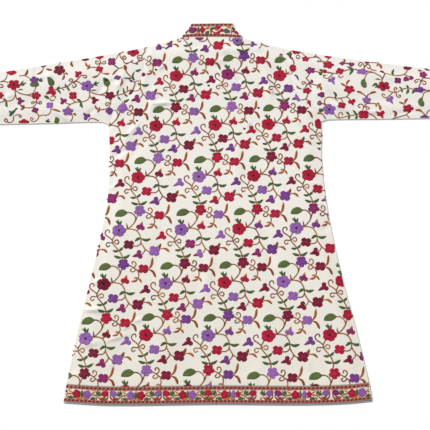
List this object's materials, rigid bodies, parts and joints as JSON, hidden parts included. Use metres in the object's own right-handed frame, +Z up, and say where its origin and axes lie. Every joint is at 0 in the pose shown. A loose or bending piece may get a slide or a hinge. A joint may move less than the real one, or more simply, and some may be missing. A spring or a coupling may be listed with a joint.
{
  "type": "long jacket",
  "caption": "Long A-line jacket with a stand collar, set-in long sleeves and a braided hem border, laid flat face down with its back on top.",
  "frame": {"origin": "centre of the footprint, on the surface that the jacket lies on", "axes": "+X towards the wearer's right sleeve, to the right seen from above with the collar away from the viewer; +Y towards the collar; +Z up, out of the jacket's back"},
  "size_m": [1.484, 1.0228, 0.0089],
  "materials": {
    "cloth": "ivory silk with wool chain-stitch flowers, soft sheen",
    "border": "ivory ground filled with chain-stitch flowers and scrolls",
    "braid": "twisted maroon and salmon braid"
  },
  "bodies": {
    "root": {"back": "cloth", "front_left": "cloth", "front_right": "cloth", "sleeve_left": "cloth", "sleeve_right": "cloth", "collar": "border", "collar_braid_base": "braid", "collar_braid_top": "braid", "hem_band_back": "border", "hem_band_front_left": "border", "hem_band_front_right": "border", "hem_braid_back_lower": "braid", "hem_braid_back_upper": "braid", "hem_braid_front_left_lower": "braid", "hem_braid_front_left_upper": "braid", "hem_braid_front_right_lower": "braid", "hem_braid_front_right_upper": "braid"}
  },
  "joints": []
}
